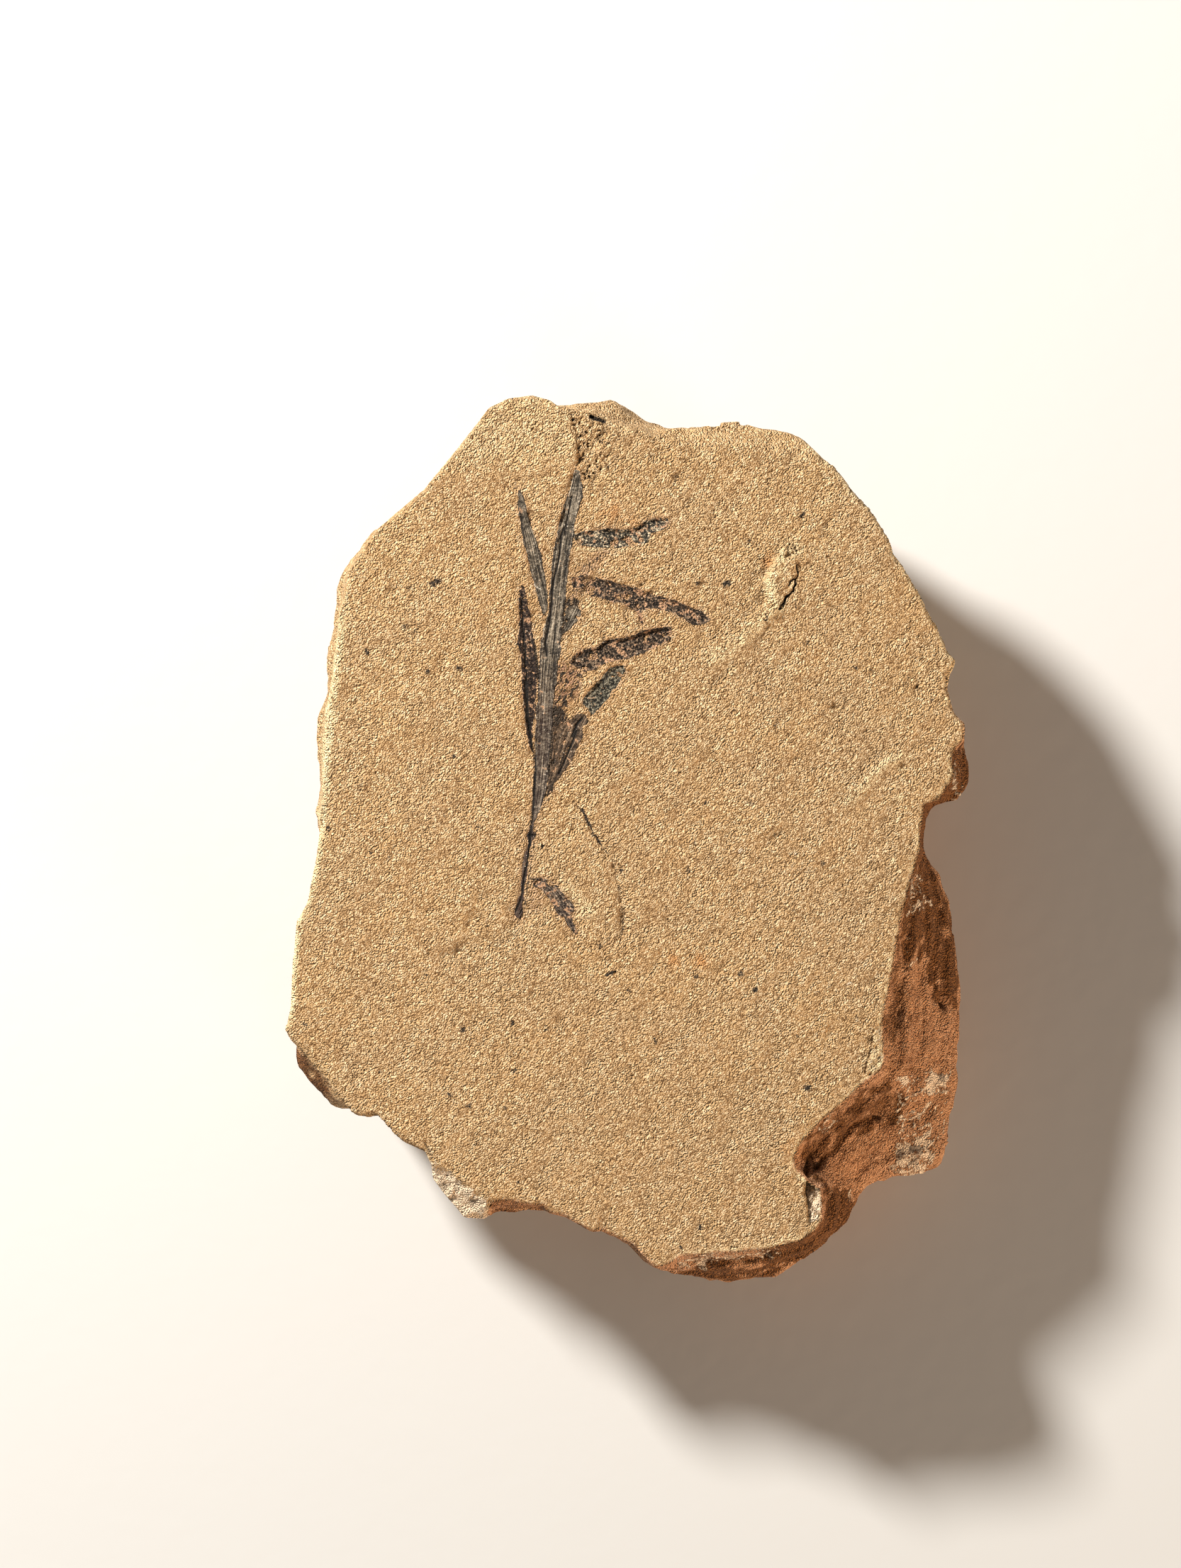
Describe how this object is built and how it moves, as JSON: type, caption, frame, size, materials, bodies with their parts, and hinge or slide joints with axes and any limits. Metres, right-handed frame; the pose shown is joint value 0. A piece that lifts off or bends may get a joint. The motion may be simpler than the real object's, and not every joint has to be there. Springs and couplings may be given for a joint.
{
  "type": "fossil dawn redwood plate",
  "caption": "Irregular plate of split siltstone, lying on its flat back, with a carbonised dawn redwood twig and its needles pressed in the upper face.",
  "frame": {"origin": "middle of the plate's bounding box at its flat back, so that the plate stands on z = 0", "axes": "+Z from the flat back towards the split face with the fossil, +Y along the twig towards its tip"},
  "size_m": [0.0524, 0.0688, 0.0191],
  "materials": {
    "siltstone": "matt, fine sandy grain, reddish brown on the weathered flanks",
    "grey_carbon": "satin, striated lengthwise, broken by bare stone",
    "black_carbon": "satin, granular, broken by bare stone",
    "green_black_carbon": "satin, granular",
    "brown_carbon": "matt, stained reddish brown"
  },
  "bodies": {
    "root": {"stone": "siltstone", "stem": "grey_carbon", "needle_left_upper": "grey_carbon", "needle_left_lower": "black_carbon", "needle_right_1": "black_carbon", "needle_right_2": "black_carbon", "needle_right_stub": "grey_carbon", "needle_right_3": "black_carbon", "needle_right_4": "green_black_carbon", "needle_right_base": "brown_carbon", "leaf_low": "black_carbon"}
  },
  "joints": []
}
